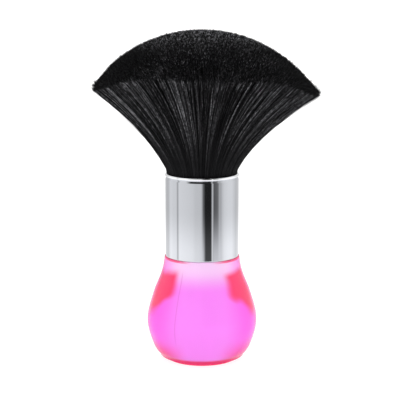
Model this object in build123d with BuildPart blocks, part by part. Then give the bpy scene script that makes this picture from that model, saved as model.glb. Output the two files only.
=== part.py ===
"""Neck duster brush: a hollow bulb handle, a chromed ferrule and a flared tuft of filament.

Millimetres, +Z up. The origin is the middle of the foot, on the surface the brush stands on.
"""
from build123d import *
import os
from math import cos, pi, sin

os.makedirs("parts", exist_ok=True)

# ---- driving dimensions ----
total_height = 148.0
foot_radius = 16.4            # disc that the brush stands on
foot_step = 1.3               # height of the disc under the bulb
neck_height = 47.3            # top of the bulb, where the ferrule sits
neck_radius = 16.95
belly_radius = 24.85
belly_height = 17.6
base_radius = 19.1            # where the bulb turns under
base_height = 2.0
ferrule_radius = 16.5
ferrule_wall = 0.5
ferrule_length = 37.5
rim_bead = 0.65               # radius of the rolled rim
rim_proud = 0.15              # how far the rim stands out from the tube
spigot_length = 12.7          # bulb's spigot inside the ferrule
wall = 2.6                    # moulded wall of the bulb
clearance = 0.1

# ---- sizes that follow ----
bore_radius = ferrule_radius - ferrule_wall
spigot_radius = bore_radius - clearance
spigot_top = neck_height + spigot_length
cavity_neck_radius = 12.5
foot_opening = 12.3
plug_height = 2.6
mouth_height = neck_height + ferrule_length
glue_depth = 0.5
glue_low, glue_high = neck_height + 4.0, neck_height + 8.0

cup_floor = 1.4
cup_wall = 0.9
cup_height = 18.5
cup_radius = bore_radius - clearance
cup_bore = cup_radius - cup_wall
resin_height = 4.6
root_height = spigot_top + cup_floor + resin_height

cord_radius = 0.35
cord_turns = 5
cord_height = root_height + 4.0
root_radius = cup_bore - 2 * cord_radius - 2 * clearance

# ---- tuft ----
dome_radius = 61.6
dome_centre = total_height - dome_radius
waist_height = mouth_height - 9.0     # the roots are bound straight up to here
mouth_fill = ferrule_radius + rim_proud - 2 * rim_bead - clearance
flare_slope = 0.43            # the outside leaves the mouth at this slope,
flare_curve = 0.0143          # and bends outward by this much times the height squared
bend_power = 4                # the filaments near the middle hardly bend
flare_step = 6.0              # height between two sections of the flare
flare_steps = 7
depth_share = 0.72            # front-to-back radius over side-to-side radius where the crown begins
crown_start = 42.0            # height of that place above the mouth
core_share = 0.36             # share of the roots' radius that the core hank fills
ring_share = 0.69             # share that the core and the inner hanks fill together
share_gap = 0.015
hank_gap = 0.3
inner_hanks = 6
outer_hanks = 12


def save(block, name):
    """Label a finished piece and write it as its own STEP file."""
    block.part.label = name
    export_step(block.part, f"parts/{name}.step")


# ---- handle bulb: one hollow moulding, open at the bottom, with a closed spigot on top ----
with BuildPart() as handle_bulb:
    with BuildSketch(Plane.XZ):
        with BuildLine():
            base = (base_radius, base_height)
            under = (base_radius - 0.8, foot_step)
            Polyline((0, spigot_top - wall), (0, spigot_top), (spigot_radius - 0.6, spigot_top),
                     (spigot_radius, spigot_top - 0.6), (spigot_radius, glue_high),
                     (spigot_radius - glue_depth, glue_high), (spigot_radius - glue_depth, glue_low),
                     (spigot_radius, glue_low), (spigot_radius, neck_height),
                     (neck_radius - 0.4, neck_height))
            ThreePointArc((neck_radius - 0.4, neck_height),
                          (neck_radius - 0.1, neck_height - 0.12), (neck_radius, neck_height - 0.4))
            Spline((neck_radius, neck_height - 0.4), (17.35, 43.6), (18.05, 40.6), (19.15, 37.4),
                   (21.0, 33.0), (23.2, 26.4), (24.5, 21.4), (belly_radius, belly_height),
                   (24.3, 13.4), (22.9, 8.7), (20.7, 4.0), base, tangents=((0.08, -1), (-0.6, -1)))
            ThreePointArc(base, (base_radius - 0.3, base_height - 0.48), under)
            Line(under, (foot_opening, foot_step))
            Line((foot_opening, foot_step), (foot_opening, foot_step + plug_height))
            Spline((foot_opening, foot_step + plug_height), (17.3, 5.2), (20.7, 9.8),
                   (belly_radius - wall, belly_height), (20.2, 27.5), (15.2, 37.5),
                   (cavity_neck_radius, 45.0), tangents=((1, 0.2), (-0.1, 1)))
            Polyline((cavity_neck_radius, 45.0), (cavity_neck_radius, spigot_top - wall),
                     (0, spigot_top - wall))
        make_face()
    revolve(axis=Axis.Z)
save(handle_bulb, "handle_bulb")

# ---- foot disc: press-in plug that closes the bulb and carries the brush ----
with BuildPart() as foot_disc:
    with BuildSketch():
        Circle(foot_radius)
    extrude(amount=foot_step)
    fillet(foot_disc.edges().group_by(Axis.Z)[0], radius=0.5)
    with BuildSketch(Plane.XY.offset(foot_step)):
        Circle(foot_opening - clearance)
        Circle(foot_opening - 1.8, mode=Mode.SUBTRACT)
    extrude(amount=plug_height)
    with BuildSketch():
        Circle(foot_radius - 3.2)
    extrude(amount=0.5, mode=Mode.SUBTRACT)
save(foot_disc, "foot_disc")

# ---- glue band: cured adhesive in the groove round the spigot ----
with BuildPart() as glue_band:
    with BuildSketch(Plane.XY.offset(glue_low)):
        Circle(bore_radius)
        Circle(spigot_radius - glue_depth, mode=Mode.SUBTRACT)
    extrude(amount=glue_high - glue_low)
save(glue_band, "glue_band")

# ---- ferrule: drawn tube with a rolled rim round its mouth ----
with BuildPart() as ferrule:
    with BuildSketch(Plane.XY.offset(neck_height)):
        Circle(ferrule_radius)
        Circle(bore_radius, mode=Mode.SUBTRACT)
    extrude(amount=ferrule_length - rim_bead)
    fillet(ferrule.edges().group_by(Axis.Z)[0].sort_by(SortBy.RADIUS)[-1], radius=0.3)
    with BuildSketch(Plane.XZ):
        with Locations((ferrule_radius + rim_proud - rim_bead, mouth_height - rim_bead)):
            Circle(rim_bead)
    revolve(axis=Axis.Z)
save(ferrule, "ferrule")

# ---- bristle cup: holds the roots, stands on the spigot inside the ferrule ----
with BuildPart() as bristle_cup:
    with BuildSketch(Plane.XY.offset(spigot_top)):
        Circle(cup_radius)
    extrude(amount=cup_height)
    with BuildSketch(Plane.XY.offset(spigot_top + cup_floor)):
        Circle(cup_bore)
    extrude(amount=cup_height - cup_floor, mode=Mode.SUBTRACT)
    chamfer(bristle_cup.edges().group_by(Axis.Z)[0], length=0.4)
save(bristle_cup, "bristle_cup")

# ---- root resin: cast plug that the filament roots are set in ----
with BuildPart() as root_resin:
    with BuildSketch(Plane.XY.offset(spigot_top + cup_floor)):
        Circle(cup_bore)
    extrude(amount=resin_height)
save(root_resin, "root_resin")

# ---- binding cord: thread wound round the roots, turn on turn ----
with BuildPart() as binding_cord:
    with BuildSketch(Plane.XZ):
        for turn in range(cord_turns):
            with Locations((root_radius + clearance + cord_radius,
                            cord_height + turn * 2 * cord_radius * 0.97)):
                Circle(cord_radius)
    revolve(axis=Axis.Z)
save(binding_cord, "binding_cord")


def tuft_sections(share):
    """Height, side-to-side and front-to-back radius of the filaments that start at this share."""
    yield root_height, share * root_radius, share * root_radius
    yield waist_height, share * root_radius, share * root_radius
    for step in range(flare_steps + 1):
        above = step * flare_step if step < flare_steps else total_height - mouth_height + 1
        straight = share * (mouth_fill + flare_slope * above)
        radius = straight + share ** bend_power * flare_curve * above ** 2
        flatten = (1 - depth_share) * min(above / crown_start, 1)
        yield mouth_height + above, radius, radius * (1 - flatten)


def tuft_body(share):
    """The filaments from the middle out to a share of the roots' radius, under the domed top."""
    with BuildPart() as body:
        for height, side_radius, front_radius in tuft_sections(share):
            with BuildSketch(Plane.XY.offset(height)):
                Ellipse(side_radius, front_radius)
        loft(ruled=True)
        with Locations((0, 0, dome_centre)):
            Sphere(dome_radius, mode=Mode.INTERSECT)
    return body.part


def hank(name, outer_body, inner_body, number, count):
    """One sector of the filament between two bodies, with a gap to its neighbours."""
    middle = 2 * pi * number / count
    half = pi / count
    reach = 2 * dome_radius
    inset = hank_gap / 2 / sin(half)
    apex = (inset * cos(middle), inset * sin(middle))
    ends = [(apex[0] + reach * cos(middle + side), apex[1] + reach * sin(middle + side))
            for side in (-half, half)]
    with BuildPart() as sector:
        add(outer_body)
        add(inner_body, mode=Mode.SUBTRACT)
        with BuildSketch(Plane.XY.offset(root_height - 1)):
            with BuildLine():
                Polyline(apex, ends[0], ends[1], apex)
            make_face()
        extrude(amount=total_height, mode=Mode.INTERSECT)
    save(sector, name)


# ---- tuft: a core hank, a ring of inner hanks and a ring of outer hanks ----
full_body = tuft_body(1.0)
ring_body = tuft_body(ring_share)
ring_space = tuft_body(ring_share + share_gap)
core_space = tuft_body(core_share + share_gap)

with BuildPart() as bristle_core:
    add(tuft_body(core_share))
save(bristle_core, "bristle_core")

for number in range(inner_hanks):
    hank(f"inner_hank_{number + 1}", ring_body, core_space, number, inner_hanks)
for number in range(outer_hanks):
    hank(f"outer_hank_{number + 1:02d}", full_body, ring_space, number, outer_hanks)
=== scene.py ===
"""Neck duster brush: the looks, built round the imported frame. Metres, +Z up, standing on z = 0."""
from math import cos, pi, radians, sin

import bpy
import numpy as np
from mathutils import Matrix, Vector


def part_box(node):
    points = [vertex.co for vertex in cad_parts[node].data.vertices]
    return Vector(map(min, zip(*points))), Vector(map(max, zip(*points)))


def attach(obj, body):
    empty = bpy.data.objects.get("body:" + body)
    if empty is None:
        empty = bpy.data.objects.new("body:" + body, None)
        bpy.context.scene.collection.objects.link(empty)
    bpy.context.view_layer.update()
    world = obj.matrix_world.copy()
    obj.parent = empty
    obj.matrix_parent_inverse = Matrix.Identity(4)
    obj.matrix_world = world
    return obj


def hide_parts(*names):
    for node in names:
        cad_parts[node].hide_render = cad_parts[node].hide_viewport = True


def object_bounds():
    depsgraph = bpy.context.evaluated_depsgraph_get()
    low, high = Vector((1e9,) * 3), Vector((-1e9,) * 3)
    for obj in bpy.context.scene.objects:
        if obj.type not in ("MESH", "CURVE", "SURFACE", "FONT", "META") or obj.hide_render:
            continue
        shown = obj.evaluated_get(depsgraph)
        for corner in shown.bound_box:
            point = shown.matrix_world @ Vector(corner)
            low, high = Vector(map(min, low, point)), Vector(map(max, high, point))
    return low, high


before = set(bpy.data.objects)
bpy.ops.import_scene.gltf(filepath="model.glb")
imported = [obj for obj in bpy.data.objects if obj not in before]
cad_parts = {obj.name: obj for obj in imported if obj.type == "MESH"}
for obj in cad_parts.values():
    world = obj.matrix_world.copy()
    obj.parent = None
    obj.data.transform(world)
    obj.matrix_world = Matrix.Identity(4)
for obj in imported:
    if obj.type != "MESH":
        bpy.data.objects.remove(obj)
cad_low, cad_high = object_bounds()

MM = 0.001
rng = np.random.default_rng(2026)

# ---- sizes read from the frame ----
tube_low, tube_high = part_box("ferrule")
neck_height = tube_low.z
mouth_height = tube_high.z
rim_radius = tube_high.x
spigot_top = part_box("handle_bulb")[1].z
foot_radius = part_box("foot_disc")[1].x
total_height = cad_high.z

# ---- the bulb's and the ferrule's form, as in the CAD ----
parting = radians(-90 - 29)     # the mould's parting plane, 29 degrees to the left of the front
foot_step = 1.3 * MM            # height of the disc under the bulb
foot_opening = 12.3 * MM
wall = 2.6 * MM
cavity_neck = 12.5 * MM
ferrule_radius = 16.5 * MM
ferrule_wall = 0.5 * MM
rim_bead = 0.65 * MM

# ---- the tuft's form, as in the CAD ----
dome_radius = 61.6 * MM
dome_centre = total_height - dome_radius
mouth_fill = 15.15 * MM                 # radius of the filaments in the ferrule's mouth
flare_slope = 0.43                      # the outside leaves the mouth at this slope,
curve_mean = 14.3                       # and bends outward by this, per metre, times height squared
bend_power = 4                          # the filaments near the middle hardly bend
depth_share = 0.72                      # front-to-back over side-to-side radius of the crown
crown_start = 42.0 * MM                 # height of that place above the mouth
core_share, ring_share = 0.36, 0.69     # the core hank, and it and the inner hanks together
inner_hanks, outer_hanks = 6, 12

# ---- what the filaments add to it ----
curve_lean = 2.8                        # more bend to the right, and less to the left
diagonal_share = 0.11                   # how much the crown's diagonals are drawn in
left_lower = 1.6 * MM                   # how much lower the crown ends at its left edge
shell_share = 0.87                      # whole filaments are made from here outward
wide_locks, fine_locks = 58, 330        # the filaments gather in locks, fine ones within wide ones
sunk = 3.0 * MM                         # how far inside the mouth the filaments begin
inside_sunk = 4.0 * MM                  # the same of the dark body between them,
inside_below = 1.6 * MM                 # and how far under the dome that body ends


# ======================================================================================
# Mesh tools
# ======================================================================================
def mesh_piece(name, verts, faces, material, smooth_angle=None, maps=None):
    """A mesh object from arrays: verts (n, 3), faces a list of (m, 3) or (m, 4) index arrays,
    maps a list of the faces' corners on the bake picture."""
    mesh = bpy.data.meshes.new(name)
    sizes = np.concatenate([np.full(len(f), f.shape[1]) for f in faces])
    corners = np.concatenate([f.ravel() for f in faces]).astype(np.int32)
    mesh.vertices.add(len(verts))
    mesh.vertices.foreach_set("co", np.ascontiguousarray(verts, dtype=np.float32).ravel())
    mesh.loops.add(len(corners))
    mesh.loops.foreach_set("vertex_index", corners)
    mesh.polygons.add(len(sizes))
    starts = np.concatenate([[0], np.cumsum(sizes)[:-1]]).astype(np.int32)
    mesh.polygons.foreach_set("loop_start", starts)
    if maps is not None:
        corners_on_map = np.concatenate([m.reshape(-1, 2) for m in maps]).astype(np.float32)
        mesh.uv_layers.new(name="OFBake").data.foreach_set("uv", corners_on_map.ravel())
    mesh.update(calc_edges=True)
    mesh.validate()
    mesh.shade_smooth()
    if smooth_angle is not None:
        mesh.set_sharp_from_angle(angle=radians(smooth_angle))
    mesh.materials.append(material)
    piece = bpy.data.objects.new(name, mesh)
    bpy.context.collection.objects.link(piece)
    return piece


def smooth_line(points, count):
    """count points on a smooth curve (Catmull-Rom) through the given ones."""
    p = np.array(points, dtype=float)
    padded = np.vstack([2 * p[0] - p[1], p, 2 * p[-1] - p[-2]])
    spans = len(p) - 1
    t = np.linspace(0, spans, count)
    i = np.minimum(t.astype(int), spans - 1)
    f = (t - i)[:, None]
    a, b, c, d = (padded[i + k] for k in range(4))
    return 0.5 * (2 * b + (c - a) * f + (2 * a - 5 * b + 4 * c - d) * f ** 2
                  + (3 * b - a - 3 * c + d) * f ** 3)


def arc(centre, radius, start, end, count):
    """Points (r, z) on a circle's arc, angles in degrees from +r towards +z."""
    angles = np.radians(np.linspace(start, end, count))
    return np.column_stack([centre[0] + radius * np.cos(angles),
                            centre[1] + radius * np.sin(angles)])


def lathe(name, profile, material, segments, smooth_angle, shape=None):
    """Turns a closed loop of (r, z) points round Z. Points with r = 0 become one vertex each, and
    shape, if given, returns the radii all round for a point."""
    profile = np.array(profile, dtype=float)
    angles = np.arange(segments) * 2 * pi / segments
    verts, rings = [], []
    count = 0
    for index, (r, z) in enumerate(profile):
        if r < 1e-9:
            verts.append(np.array([[0.0, 0.0, z]]))
            rings.append(np.full(segments, count))
            count += 1
            continue
        radii = np.full(segments, r) if shape is None else shape(index, r, z, angles)
        verts.append(np.column_stack([radii * np.cos(angles), radii * np.sin(angles),
                                      np.full(segments, z)]))
        rings.append(count + np.arange(segments))
        count += segments
    quads, tris = [], []
    for k in range(len(rings)):
        a, b = rings[k], rings[(k + 1) % len(rings)]
        a2, b2 = np.roll(a, -1), np.roll(b, -1)
        if a[0] == a[1] and b[0] == b[1]:
            continue
        if a[0] == a[1]:
            tris.append(np.column_stack([a, b2, b]))
        elif b[0] == b[1]:
            tris.append(np.column_stack([a, a2, b]))
        else:
            quads.append(np.column_stack([a, a2, b2, b]))
    faces = [np.vstack(quads)] + ([np.vstack(tris)] if tris else [])
    return mesh_piece(name, np.vstack(verts), faces, material, smooth_angle)


# ======================================================================================
# Material tools
# ======================================================================================
class Shader:
    """One node material: a Principled shader plus the nodes that feed it."""

    def __init__(self, name, **inputs):
        self.material = bpy.data.materials.new(name)
        self.material.use_nodes = True
        self.nodes = self.material.node_tree.nodes
        self.links = self.material.node_tree.links
        self.main = self.nodes["Principled BSDF"]
        for key, value in inputs.items():
            self.main.inputs[key.replace("_", " ")].default_value = value

    def node(self, kind, links=None, **values):
        """Adds a node. Inputs are given in links, by name or number, as sockets or plain values."""
        made = self.nodes.new(kind)
        for key, value in values.items():
            setattr(made, key, value)
        for key, value in (links or {}).items():
            if isinstance(value, bpy.types.NodeSocket):
                self.links.new(value, made.inputs[key])
            else:
                made.inputs[key].default_value = value
        return made

    def math(self, operation, a, b=0.0):
        return self.node("ShaderNodeMath", {0: a, 1: b}, operation=operation).outputs[0]

    def ramp(self, value, low, high, to_low=0.0, to_high=1.0):
        """value from low..high mapped to to_low..to_high with soft ends."""
        return self.node("ShaderNodeMapRange",
                         {"Value": value, "From Min": low, "From Max": high,
                          "To Min": to_low, "To Max": to_high},
                         interpolation_type="SMOOTHSTEP").outputs[0]

    def mix(self, factor, a, b):
        made = self.node("ShaderNodeMix", data_type="RGBA")
        for socket, value in zip((made.inputs[0], made.inputs[6], made.inputs[7]),
                                 (factor, a, b)):
            if isinstance(value, bpy.types.NodeSocket):
                self.links.new(value, socket)
            else:
                socket.default_value = value
        return made.outputs[2]

    def place(self):
        """x, y and z of the point, in metres in the frame."""
        where = self.node("ShaderNodeTexCoord").outputs["Object"]
        return where, self.node("ShaderNodeSeparateXYZ", {0: where}).outputs

    def noise(self, where, scale, detail=3.0, rough=0.5):
        return self.node("ShaderNodeTexNoise", {"Vector": where, "Scale": scale,
                                                "Detail": detail, "Roughness": rough}).outputs[0]

    def bump(self, height, distance):
        made = self.node("ShaderNodeBump", {"Height": height, "Distance": distance})
        self.links.new(made.outputs[0], self.main.inputs["Normal"])

    def feed(self, name, socket):
        self.links.new(socket, self.main.inputs[name])


def filament_material():
    """Black nylon, with its light and shade painted in. The sides carry painted highlights in streaks
    that run with the filaments, and each filament has its own shade and painted glints. The cut ends
    on the crown are painted darker, with a fine grain."""
    s = Shader("black_filament", Roughness=0.45, Specular_IOR_Level=0.045)
    where, (x, y, z) = s.place()
    own = s.node("ShaderNodeNewGeometry").outputs["Random Per Island"]
    # 1 on the sides of the tuft and 0 on its crown, from the distance under the dome
    reach = s.node("ShaderNodeVectorMath", {0: where, 1: (0.0, 0.0, dome_centre)},
                   operation="DISTANCE").outputs["Value"]
    lowered = s.ramp(x, -15 * MM, -42 * MM, 0.0, left_lower)
    under_dome = s.math("SUBTRACT", s.math("SUBTRACT", dome_radius, reach), lowered)
    side = s.ramp(under_dome, 0.4 * MM, 1.5 * MM)
    # painted highlights: streaks that fan out with the filaments and change slowly along them
    flat = s.node("ShaderNodeCombineXYZ", {0: x, 1: s.math("MULTIPLY", y, 1.2)}).outputs[0]
    way = s.node("ShaderNodeVectorMath", {0: flat}, operation="NORMALIZE").outputs[0]
    drift = s.node("ShaderNodeCombineXYZ", {2: s.math("MULTIPLY", z, 1.2)}).outputs[0]
    fan = s.node("ShaderNodeVectorMath", {0: way, 1: drift}, operation="ADD").outputs[0]
    painted_lock_highlight = s.ramp(s.noise(fan, 150.0, 4.0, 0.65), 0.36, 0.66, 0.30, 1.0)
    # the sides: painted shade near the mouth, painted light further up and towards the two ends
    painted_light_rise = s.ramp(z, mouth_height + 4 * MM, mouth_height + 34 * MM)
    painted_side_light = s.ramp(s.math("ABSOLUTE", x), 8 * MM, 30 * MM, 0.60, 0.76)
    speck = s.noise(where, 1150.0, 0.0)
    painted_strand_glints = s.math("MULTIPLY", s.math("POWER", own, 4.0), s.ramp(speck, 0.30, 0.70, 0.35, 1.65))
    bright = s.math("MULTIPLY", s.math("MULTIPLY", painted_strand_glints, painted_lock_highlight), painted_side_light)
    painted_mouth_shade = s.math("ADD", s.math("MULTIPLY", s.math("MULTIPLY", own, painted_lock_highlight), 0.035), 0.004)
    flank = s.node("ShaderNodeMix", {0: painted_light_rise, 2: painted_mouth_shade, 3: bright}).outputs[0]
    # the crown: painted light on the cut ends near its top, painted shade lower down, and a grain of
    # painted glints
    grain = s.ramp(speck, 0.53, 0.72, 0.0, 1.1)
    top = s.ramp(z, total_height - 10 * MM, total_height, 0.05, 0.85)
    ends = s.math("MULTIPLY", s.math("MULTIPLY", grain, s.math("POWER", own, 0.7)), top)
    shade = s.node("ShaderNodeMix", {0: side, 2: ends, 3: flank}).outputs[0]
    s.feed("Base Color", s.mix(shade, (0.003, 0.003, 0.0035, 1), (0.50, 0.50, 0.53, 1)))
    return s.material


def mass_material():
    """The inside of the tuft, which only shows as black between the filaments: black like them and
    darker still, as painted shade.
    """
    s = Shader("tuft_inside", Roughness=0.9, Specular_IOR_Level=0.05)
    where, _ = s.place()
    grain = s.noise(where, 900.0)
    s.feed("Base Color", s.mix(grain, (0.0015, 0.0015, 0.002, 1), (0.005, 0.005, 0.006, 1)))
    return s.material


def chrome_material():
    """Chromed tube: bright, faint draw marks along it, a soft uneven polish, a painted highlight on the
    rim.
    """
    s = Shader("chrome", Metallic=1.0)
    where, (_, _, z) = s.place()
    stretched = s.node("ShaderNodeMapping", {"Vector": where, "Scale": (1.0, 1.0, 0.03)}).outputs[0]
    draw = s.noise(stretched, 2600.0, 2.0)
    cloud = s.noise(where, 60.0, 3.0)
    tint = s.mix(cloud, (0.60, 0.615, 0.655, 1), (0.64, 0.655, 0.69, 1))
    # painted highlight: the rolled rim is painted nearly white
    rim = s.ramp(z, mouth_height - 1.45 * MM, mouth_height - 1.25 * MM)
    s.feed("Base Color", s.mix(rim, tint, (0.93, 0.94, 0.96, 1)))
    s.feed("Roughness", s.ramp(draw, 0.2, 0.8, 0.02, 0.05))
    return s.material


def bulb_material():
    """Translucent pink plastic with painted light: the neck painted lighter as a painted highlight, and
    coral painted where light runs a long way through plastic, at the two shoulders, the outline and the
    base."""
    s = Shader("pink_plastic", Roughness=0.22, IOR=1.49, Specular_IOR_Level=0.3)
    s.main.inputs["Transmission Weight"].default_value = 0.3
    where, (x, y, z) = s.place()
    # side is 0 at the front and the back and 1 at the two sides
    radius = s.math("SQRT", s.math("ADD", s.math("MULTIPLY", x, x), s.math("MULTIPLY", y, y)))
    side = s.math("DIVIDE", s.math("ABSOLUTE", x), s.math("MAXIMUM", radius, 0.001))
    cloud = s.math("SUBTRACT", s.noise(where, 75.0, 1.0), 0.5)
    coral = (1.0, 0.045, 0.18, 1)
    # painted refraction: the pink is painted deeper towards the two sides
    pink = s.mix(s.ramp(side, 0.35, 1.0), (1.0, 0.27, 1.0, 1), (1.0, 0.09, 0.83, 1))
    # painted highlight: the neck is painted lighter, nearly white
    painted_neck_highlight = s.math("MULTIPLY", s.ramp(z, 34 * MM, 45 * MM), s.ramp(side, 1.05, 0.55, 0.3, 1.0))
    pink = s.mix(painted_neck_highlight, pink, (1.0, 0.67, 1.0, 1))
    # the shoulders: painted refraction, coral that reaches further round the bulb the higher it is
    level = s.math("ADD", z, s.math("MULTIPLY", cloud, 5 * MM))
    starts = s.ramp(level, 33.5 * MM, 24.5 * MM, 0.60, 0.92)
    inwards = s.math("ADD", s.math("SUBTRACT", side, starts), s.math("MULTIPLY", cloud, 0.2))
    inwards = s.math("MULTIPLY", s.ramp(inwards, -0.11, 0.10), s.ramp(side, 1.0, 0.955, 0.35, 1.0))
    painted_shoulder_refraction = s.math("MULTIPLY", inwards,
                      s.math("MULTIPLY", s.ramp(level, 20.5 * MM, 26 * MM),
                             s.ramp(level, 44 * MM, 40 * MM)))
    pink = s.mix(painted_shoulder_refraction, pink, coral)
    # painted refraction at the base, the outline and the bottom, and a painted shadow line just under
    # the ferrule
    base = s.math("MULTIPLY", s.ramp(level, 14 * MM, 3 * MM), s.ramp(side, 0.25, 0.85, 0.0, 0.85))
    pink = s.mix(base, pink, coral)
    painted_lip_shadow = s.math("MULTIPLY", s.ramp(z, 46.2 * MM, 46.7 * MM), s.ramp(side, 0.2, 0.7, 0.0, 0.9))
    rim = s.math("MAXIMUM", painted_lip_shadow, s.ramp(side, 0.93, 1.0, 0.0, 0.5))
    pink = s.mix(rim, pink, coral)
    bottom = s.math("MULTIPLY", s.ramp(z, 4.2 * MM, 2.6 * MM), s.ramp(side, 0.95, 0.6, 0.3, 1.0))
    pink = s.mix(bottom, pink, (0.93, 0.004, 0.15, 1))
    # the mould's parting line
    off = s.math("ABSOLUTE", s.math("SUBTRACT", s.math("MULTIPLY", x, sin(parting)),
                                    s.math("MULTIPLY", y, cos(parting))))
    length = s.math("MULTIPLY", s.ramp(z, 8 * MM, 16 * MM), s.ramp(z, 44 * MM, 40 * MM))
    seam = s.math("MULTIPLY", s.ramp(off, 0.35 * MM, 0.08 * MM, 0.0, 0.26), length)
    s.feed("Base Color", s.mix(seam, pink, (0.55, 0.05, 0.40, 1)))
    return s.material


def foot_material():
    """Crimson plastic, a little uneven in its colour."""
    s = Shader("crimson_plastic", Roughness=0.22, IOR=1.49, Specular_IOR_Level=0.3)
    where, _ = s.place()
    grain = s.noise(where, 300.0)
    s.feed("Base Color", s.mix(grain, (0.94, 0.006, 0.16, 1), (0.88, 0.004, 0.12, 1)))
    return s.material


def plain_material(name, low, high, scale, roughness, bump):
    """A two-tone material with a grain of its own, for a piece inside the brush."""
    s = Shader(name, Roughness=roughness)
    where, _ = s.place()
    grain = s.noise(where, scale, 4.0)
    s.feed("Base Color", s.mix(grain, (*low, 1), (*high, 1)))
    s.bump(grain, bump)
    return s.material


# ======================================================================================
# Handle and ferrule
# ======================================================================================
def bulb_radius(height):
    """The CAD bulb's outside radius at a height."""
    start = Vector((1.0, 1e-5, height))
    _, where, _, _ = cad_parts["handle_bulb"].ray_cast(start, Vector((-1, 0, 0)))
    return where.x


def make_bulb():
    """The hollow bulb in one closed skin, from its opening at the foot round the outside and over
    the spigot to the cavity."""
    heights = (2.0, 2.8, 4.0, 6.0, 9.0, 12.5, 16.0, 20.0, 24.0, 28.0, 32.0, 35.0, 38.0, 41.0,
               44.0, 46.6)
    outer = smooth_line([(bulb_radius(h * MM), h * MM) for h in heights], 84)
    cavity = smooth_line([(12.5, 4.0), (17.3, 5.2), (20.7, 9.8), (22.2, 17.6), (20.2, 27.5),
                          (15.2, 37.5), (12.8, 43.0), (12.5, 47.0)], 40) * MM
    spigot = bulb_radius(spigot_top - 2 * MM)
    chamfer = 0.6 * MM
    edge, neck = outer[0][0], outer[-1][0]
    bottom = np.vstack([
        [(foot_opening, foot_step), (foot_radius, foot_step)],
        arc((edge - 0.75 * MM, foot_step + 0.7 * MM), 0.7 * MM, -90, -12, 8),
    ])
    profile = np.vstack([
        bottom,
        outer,
        [(neck - 0.1 * MM, neck_height - 0.15 * MM), (neck - 0.4 * MM, neck_height)],
        [(spigot, neck_height), (spigot, spigot_top - chamfer)],
        [(spigot - chamfer, spigot_top), (0, spigot_top)],
        [(0, spigot_top - wall), (cavity_neck, spigot_top - wall)],
        cavity[::-1],
    ])
    ridge_height, ridge_width = 0.05 * MM, 0.14 * MM

    def with_parting_ridge(index, r, z, angles):
        """The mould's fine parting ridge, on the outside only."""
        radii = np.full(len(angles), r)
        if len(bottom) <= index < len(bottom) + len(outer):
            off = np.abs((angles - parting + pi / 2) % pi - pi / 2)
            radii += ridge_height * np.exp(-(off * r / ridge_width) ** 2)
        return radii

    bulb = lathe("bulb_shell", profile, bulb_material(), 640, 40, with_parting_ridge)
    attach(bulb, "root")
    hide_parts("handle_bulb")


def make_ferrule():
    """The tube, with a shallow groove under its rolled rim."""
    low, high = neck_height, mouth_height
    foot_round = 0.25 * MM
    # the groove's depth at distances below the rim, in millimetres
    groove = [(0.0, 3.0), (0.05, 2.45), (0.27, 1.85), (0.33, 1.5), (0.14, 1.26)]
    profile = np.vstack([
        [(ferrule_radius - ferrule_wall, low)],
        arc((ferrule_radius - foot_round, low + foot_round), foot_round, -90, 0, 6),
        np.column_stack([np.full(24, ferrule_radius), np.linspace(low + 0.5 * MM, high - 3.2 * MM, 24)]),
        smooth_line([(ferrule_radius - depth * MM, high - below * MM) for depth, below in groove], 18),
        arc((rim_radius - rim_bead, high - rim_bead), rim_bead, -65, 245, 30),
        [(ferrule_radius - ferrule_wall, high - 2.0 * MM)],
    ])
    ferrule = lathe("ferrule_tube", profile, chrome_material(), 256, 30)
    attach(ferrule, "root")
    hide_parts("ferrule")


# ======================================================================================
# Tuft
# ======================================================================================
def flare(share, turn, above):
    """Where the filament that starts at this share and turn of the mouth is, above it."""
    curve = curve_mean + curve_lean * np.cos(turn)
    radius = share * (mouth_fill + flare_slope * np.maximum(above, 0))
    radius = radius + share ** bend_power * curve * np.maximum(above, 0) ** 2
    spread = np.clip(above / crown_start, 0, 1)
    flat = 1 - (1 - depth_share) * spread - diagonal_share * (spread * np.sin(2 * turn)) ** 2
    return np.stack([radius * np.cos(turn), radius * np.sin(turn) * flat,
                     mouth_height + above + 0 * radius], axis=-1)


def crown_height(share, turn, dome):
    """How far above the mouth each filament reaches a dome of this radius, by halving the range
    that every crown lies in."""
    low = np.full(np.shape(share), 5.0 * MM)
    high = np.full(np.shape(share), 66.0 * MM)
    for _ in range(30):
        middle = (low + high) / 2
        p = flare(share, turn, middle)
        out = p[..., 0] ** 2 + p[..., 1] ** 2 + (p[..., 2] - dome_centre) ** 2 > dome ** 2
        high = np.where(out, middle, high)
        low = np.where(out, low, middle)
    return (low + high) / 2


def tube_mesh(lines, radii):
    """Three-sided closed tubes round centre lines (n, k, 3) with radii (n, k)."""
    n, k, _ = lines.shape
    along = np.gradient(lines, axis=1)
    along /= np.linalg.norm(along, axis=2, keepdims=True)
    spin = rng.uniform(0, 2 * pi, n)
    first = np.stack([np.cos(spin), np.sin(spin), np.full(n, 0.1)], axis=1)[:, None, :]
    side = np.cross(along, first)
    side /= np.linalg.norm(side, axis=2, keepdims=True)
    other = np.cross(along, side)
    turns = [2 * pi * c / 3 for c in range(3)]
    corners = [lines + radii[..., None] * (cos(a) * side + sin(a) * other) for a in turns]
    verts = np.stack(corners, axis=2).reshape(-1, 3)
    first_ring = np.arange(n) * k * 3
    base = first_ring[:, None, None] + (np.arange(k - 1) * 3)[None, :, None]
    here, beside = np.arange(3), np.array([1, 2, 0])
    quads = np.stack([base + here, base + beside, base + 3 + beside, base + 3 + here], axis=-1)
    last_ring = first_ring + (k - 1) * 3
    roots = np.stack([first_ring + 2, first_ring + 1, first_ring], axis=-1)
    tips = np.stack([last_ring, last_ring + 1, last_ring + 2], axis=-1)
    return verts, quads.reshape(-1, 4), np.vstack([roots, tips])


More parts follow.
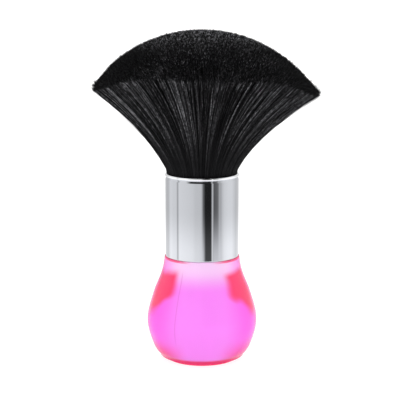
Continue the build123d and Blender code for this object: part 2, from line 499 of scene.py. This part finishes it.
def tube_maps(lengths):
    """Where the corners of the tubes' quads and caps lie on the bake picture. Each tube has a
    cell of its own, and lengths gives the number of rings of each batch (tubes, rings)."""
    tubes = sum(n for n, _ in lengths)
    columns = 128
    rows = -(-tubes // columns)
    margin = 0.12                       # share of a cell that stays free at each side
    used = 1 - 2 * margin
    first, maps = 0, []
    for n, k in lengths:
        cell = first + np.arange(n)
        first += n
        corner = np.stack([cell % columns, cell // columns], axis=-1)
        level = np.arange(k - 1) / (k - 1)
        step = 1 / (k - 1)
        c = np.arange(3) / 3
        u = np.stack([c, c + 1 / 3, c + 1 / 3, c], axis=-1)[None, None]
        v = (level[:, None] + np.array([0, 0, step, step]))[None, :, None]
        u, v = np.broadcast_arrays(u, v)
        quads = np.stack(np.broadcast_arrays(u, v), axis=-1)
        quads = np.broadcast_to(quads, (n, k - 1, 3, 4, 2))
        quads = corner[:, None, None, None, :] + margin + used * quads
        caps = np.array([[(0, 0), (1, 0), (0.5, 0.05)], [(0, 1), (1, 1), (0.5, 0.95)]])
        caps = corner[None, :, None, :] + margin + used * caps[:, None]
        maps.append((quads.reshape(-1, 4, 2) / (columns, rows),
                     caps.reshape(-1, 3, 2) / (columns, rows)))
    return [np.vstack([q for q, _ in maps]), np.vstack([c for _, c in maps])]


def lock_turn(turn, count):
    """How far each filament is from the middle of its lock, and the lock's number, of count locks
    round the tuft."""
    spread = 0.35                       # how uneven the locks' places are, as a share of a lock
    step = 2 * pi / count
    nearest = np.round(turn / step).astype(int) % count
    centres = np.arange(count) * step + rng.uniform(-spread, spread, count) * step
    gap = (centres[nearest] - turn + pi) % (2 * pi) - pi
    return gap, nearest


def outer_lines(count, rings):
    """Whole filaments of the outer shell, from inside the ferrule to the crown's edge."""
    share = np.sqrt(rng.uniform(shell_share ** 2, 1, count))
    turn = rng.uniform(0, 2 * pi, count)
    wide_gap, wide = lock_turn(turn, wide_locks)
    fine_gap, fine = lock_turn(turn, fine_locks)
    lift = rng.normal(0, 0.012, wide_locks)[wide] + rng.normal(0, 0.009, fine_locks)[fine]
    pull = 0.18 * wide_gap + 0.34 * fine_gap
    end_share, end_turn = share * (1 + 0.4 * lift), turn + pull
    short = rng.gamma(1.2, 0.15 * MM, count)
    top = crown_height(end_share, end_turn, crown_radius(end_share, end_turn) - short)
    t = np.linspace(0, 1, rings)[None, :]
    above = -sunk + (top[:, None] + sunk) * t
    grown = np.clip(above / top[:, None], 0, 1)
    lifted = 1 + lift[:, None] * grown * (1 - 0.7 * grown ** 3)
    lines = flare(share[:, None] * lifted, turn[:, None] + pull[:, None] * grown ** 1.4, above)
    sway = rng.normal(0, 0.22 * MM, (count, 1, 3)) * np.sin(grown * pi * 0.85)[..., None]
    at_side = np.clip((np.abs(np.cos(end_turn)) - 0.80) / 0.20, 0, 1)
    at_outside = np.clip((share - 0.90) / 0.06, 0, 1)
    loose = (0.20 + 0.55 * at_side * at_outside)[:, None, None] * MM
    splay = rng.normal(0, 1, (count, 1, 3)) * loose * (grown ** 3)[..., None]
    return share, turn, lines + sway + splay, t


def stray_lines(count, rings):
    """A few filaments that stand off the outside and the edge of the crown, half of them near its
    two ends."""
    share = rng.uniform(0.94, 1.0, count)
    near_end = rng.integers(0, 2, count) * pi + rng.normal(0, 0.25, count)
    turn = np.where(rng.uniform(0, 1, count) < 0.5, near_end, rng.uniform(0, 2 * pi, count))
    longer = rng.normal(0.1 * MM, 0.45 * MM, count)
    top = crown_height(share, turn, crown_radius(share, turn) + longer)
    t = np.linspace(0, 1, rings)[None, :]
    above = -sunk + (top[:, None] + sunk) * t
    grown = np.clip(above / top[:, None], 0, 1)
    standing_off = 1 + rng.uniform(0, 0.012, (count, 1)) * grown
    lines = flare(share[:, None] * standing_off, turn[:, None], above)
    bow = rng.normal(0, 0.5 * MM, (count, 1, 3)) * np.sin(grown * pi)[..., None]
    splay = rng.normal(0, 0.55 * MM, (count, 1, 3)) * (grown ** 2)[..., None]
    return share, turn, lines + bow + splay, t


def crown_lines(count, rings):
    """The ends of the filaments that make the crown, from a few millimetres under it."""
    share = np.sqrt(rng.uniform(0, 1, count)) * 0.995
    turn = rng.uniform(0, 2 * pi, count)
    short = rng.gamma(1.3, 0.16 * MM, count)
    top = crown_height(share, turn, crown_radius(share, turn) - short)
    start = top - rng.uniform(3.5, 4.5, count) * MM
    t = np.linspace(0, 1, rings)[None, :]
    lines = flare(share[:, None], turn[:, None], start[:, None] + (top - start)[:, None] * t)
    splay = rng.normal(0, 0.35 * MM, (count, 1, 3)) * (t ** 2)[..., None]
    return share, turn, lines + splay, t


def crown_radius(share, turn):
    """The dome's radius, a little shorter at the left edge where the filaments end lower."""
    left = np.clip(-np.cos(turn), 0, 1) * np.clip((share - 0.8) / 0.2, 0, 1)
    return dome_radius - left_lower * left


def hank_number(share, turn):
    """0 for the core, 1 to 6 for the inner hanks and 7 to 18 for the outer ones."""
    inner = np.floor((turn + pi / inner_hanks) / (2 * pi / inner_hanks)).astype(int) % inner_hanks
    outer = np.floor((turn + pi / outer_hanks) / (2 * pi / outer_hanks)).astype(int) % outer_hanks
    in_ring = np.where(share < ring_share, 1 + inner, 1 + inner_hanks + outer)
    return np.where(share < core_share, 0, in_ring)


def make_tuft():
    """One mesh of filaments for each hank. Each kind of filament has a width at its root and one
    at its tip."""
    material = filament_material()
    names = (["bristle_core"] + [f"inner_hank_{i + 1}" for i in range(inner_hanks)]
             + [f"outer_hank_{i + 1:02d}" for i in range(outer_hanks)])
    kinds = [(outer_lines(11000, 9), 0.30 * MM, 0.17 * MM),
             (crown_lines(46000, 3), 0.26 * MM, 0.15 * MM),
             (stray_lines(420, 9), 0.22 * MM, 0.13 * MM)]
    made = [(hank_number(share, turn), lines,
             rng.uniform(0.8, 1.15, (len(share), 1)) * (wide + (thin - wide) * t) / 2)
            for (share, turn, lines, t), wide, thin in kinds]
    for number, name in enumerate(names):
        count, verts, quads, caps, lengths = 0, [], [], [], []
        for home, lines, radii in made:
            picked = home == number
            if not picked.any():
                continue
            v, q, c = tube_mesh(lines[picked], radii[picked])
            verts.append(v)
            quads.append(q + count)
            caps.append(c + count)
            count += len(v)
            lengths.append(lines[picked].shape[:2])
        hank = mesh_piece("filaments_" + name, np.vstack(verts),
                          [np.vstack(quads), np.vstack(caps)], material, maps=tube_maps(lengths))
        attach(hank, "root")
        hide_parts(name)


def make_tuft_inside():
    """A closed dark body just under the outer filaments, which stands for the filaments inside and
    paints the shade between them.
    """
    turns = np.linspace(0, 2 * pi, 96, endpoint=False)
    dome = dome_radius - inside_below
    shares = np.full(len(turns), shell_share)
    rim = crown_height(shares, turns, dome)
    rings = [flare(shares, turns, np.full(len(turns), -inside_sunk))]
    for part in np.linspace(0, 1, 20):
        rings.append(flare(shares, turns, rim * part))
    for part in np.linspace(1, 0, 16)[1:-1]:
        s = shares * part
        rings.append(flare(s, turns, crown_height(s, turns, dome)))
    verts = np.vstack([[[0, 0, mouth_height - inside_sunk]], *rings, [[0, 0, dome_centre + dome]]])
    n = len(turns)
    quads = []
    for k in range(len(rings) - 1):
        a = 1 + k * n + np.arange(n)
        b = a + n
        quads.append(np.column_stack([a, np.roll(a, -1), np.roll(b, -1), b]))
    first = 1 + np.arange(n)
    last = 1 + (len(rings) - 1) * n + np.arange(n)
    end = 1 + len(rings) * n
    tris = [np.column_stack([np.zeros(n, int), np.roll(first, -1), first]),
            np.column_stack([last, np.roll(last, -1), np.full(n, end)])]
    body = mesh_piece("tuft_inside", verts, [np.vstack(quads), np.vstack(tris)], mass_material())
    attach(body, "root")


def finish_cad_nodes():
    """Materials for the CAD pieces that stay as they are."""
    inside = {
        "glue_band": ("adhesive", (0.62, 0.58, 0.5), (0.8, 0.77, 0.7), 400.0, 0.45, 0.0002),
        "bristle_cup": ("black_plastic", (0.012, 0.012, 0.013), (0.03, 0.03, 0.032), 500.0, 0.5, 0.0001),
        "root_resin": ("resin", (0.07, 0.055, 0.04), (0.13, 0.1, 0.075), 250.0, 0.3, 0.0002),
        "binding_cord": ("thread", (0.02, 0.02, 0.021), (0.06, 0.06, 0.06), 3000.0, 0.8, 0.0002),
    }
    looks = {"foot_disc": foot_material()}
    for node, values in inside.items():
        looks[node] = plain_material(*values)
    for node, material in looks.items():
        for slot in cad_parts[node].material_slots:
            slot.material = material


# ======================================================================================
# Studio
# ======================================================================================
def make_stage():
    """A plain white floor. Most of its light is its own, so that it stays evenly white and takes
    little colour from the brush."""
    s = Shader("floor", Roughness=0.6)
    s.main.inputs["Base Color"].default_value = (0.22, 0.22, 0.22, 1)
    s.main.inputs["Emission Color"].default_value = (1, 1, 1, 1)
    s.main.inputs["Emission Strength"].default_value = 0.88
    half = 6.0
    corners = np.array([(-half, -half, 0), (half, -half, 0), (half, half, 0), (-half, half, 0)])
    floor = mesh_piece("floor", corners, [np.array([[0, 1, 2, 3]])], s.material)


def make_screen():
    """A studio screen that only shows in reflections. Its grey changes with the azimuth from the
    front, in degrees: white panels, the dark gap beside the camera and two grey edges."""
    panels = [(-180, 0.95), (-157, 0.72), (-128, 0.67), (-112, 0.98), (-97, 0.93), (-84, 0.92),
              (-80, 0.55), (-77.5, 0.55), (-74, 0.98), (-59, 0.95), (-38, 0.91), (-28, 0.88),
              (-19, 0.80), (-3, 0.78), (0, 0.58), (3, 0.20), (6, 0.12), (9, 0.02),
              (27.6, 0.02), (30.3, 0.72), (32.6, 0.72), (34.9, 0.13), (46, 0.18), (50.5, 0.30),
              (52, 0.56), (59, 0.58), (63, 0.76), (71, 0.92), (86, 1.00), (103, 1.00),
              (128, 0.73), (157, 0.80)]
    brightest = 1.2                     # the greys are divided by it, and the glow puts it back
    s = Shader("screen")
    _, (x, y, z) = s.place()
    azimuth = s.math("ARCTAN2", x, s.math("MULTIPLY", y, -1.0))
    ramp = s.node("ShaderNodeValToRGB", {0: s.math("ADD", s.math("DIVIDE", azimuth, 2 * pi), 0.5)})
    stops = ramp.color_ramp.elements
    for _ in panels[2:]:
        stops.new(0.5)
    for stop, (angle, grey) in zip(stops, panels):
        shade = grey / brightest
        stop.position = (angle + 180) / 360
        stop.color = (shade, shade, shade, 1)
    low_part = s.ramp(z, 36 * MM, 8 * MM, brightest, 1.62)
    # the dark gap and the grey edge beside it are paler near the ground
    near_dark = s.math("MULTIPLY", s.ramp(azimuth, radians(-12), radians(-3)),
                       s.ramp(azimuth, radians(12), radians(2), 0.09, 1.0))
    near_grey = s.math("MULTIPLY", s.ramp(azimuth, radians(32), radians(36)),
                       s.ramp(azimuth, radians(66), radians(58)))
    paler = s.math("MULTIPLY", s.math("MAXIMUM", near_dark, near_grey),
                   s.ramp(z, 40 * MM, 2 * MM, 0.0, 0.8))
    panel = s.mix(paler, ramp.outputs[0], (0.62, 0.62, 0.63, 1))
    # a dark panel above the camera, which the groove under the ferrule's rim mirrors
    gap_width = s.math("MULTIPLY", s.ramp(azimuth, -0.95, -0.6), s.ramp(azimuth, 0.6, 0.4))
    gap_height = s.math("MULTIPLY", s.ramp(z, 110 * MM, 150 * MM), s.ramp(z, 250 * MM, 220 * MM))
    gap = s.math("MULTIPLY", gap_width, gap_height)
    panel = s.mix(gap, panel, (0.02, 0.02, 0.02, 1))
    glow = s.node("ShaderNodeEmission", {"Color": panel, "Strength": low_part})
    s.links.new(glow.outputs[0], s.nodes["Material Output"].inputs[0])
    count, radius = 240, 200 * MM
    low, high = 0.5 * MM, 400 * MM
    around = np.arange(count) * 2 * pi / count
    ring = np.column_stack([radius * np.sin(around), -radius * np.cos(around)])
    verts = np.vstack([np.column_stack([ring, np.full(count, h)]) for h in (low, high)])
    here = np.arange(count)
    beside = (here + 1) % count
    quads = np.column_stack([here, beside, beside + count, here + count])
    screen = mesh_piece("screen", verts, [quads], s.material)
    screen.visible_camera = screen.visible_diffuse = False
    screen.visible_transmission = screen.visible_shadow = False


def make_light():
    """Soft white light from all round."""
    world = bpy.data.worlds.new("studio")
    bpy.context.scene.world = world
    world.use_nodes = True
    back = world.node_tree.nodes["Background"]
    back.inputs["Color"].default_value = (1, 1, 1, 1)
    back.inputs["Strength"].default_value = 1.4


def make_camera():
    """A camera in front of the brush, a little above it, that looks slightly down."""
    picture_width = 400
    distance = 540 * MM
    height = 166.5 * MM
    aim = 72.4 * MM                     # height of the point it looks at
    pitch = np.arctan2(height - aim, distance)
    data = bpy.data.cameras.new("camera")
    camera = bpy.data.objects.new("camera", data)
    bpy.context.collection.objects.link(camera)
    camera.location = (-0.9 * MM, -distance, height)
    camera.rotation_euler = (pi / 2 - pitch, 0, 0)
    pixels_per_metre = 2227.0           # at the brush
    focal_pixels = pixels_per_metre * distance / cos(pitch)
    data.sensor_width = 36.0
    data.lens = data.sensor_width * focal_pixels / picture_width
    data.clip_start = 0.01
    data.clip_end = 50
    bpy.context.scene.camera = camera


make_bulb()
make_ferrule()
make_tuft()
make_tuft_inside()
finish_cad_nodes()
make_stage()
make_screen()
make_light()
make_camera()
bpy.context.scene.view_settings.view_transform = "Standard"
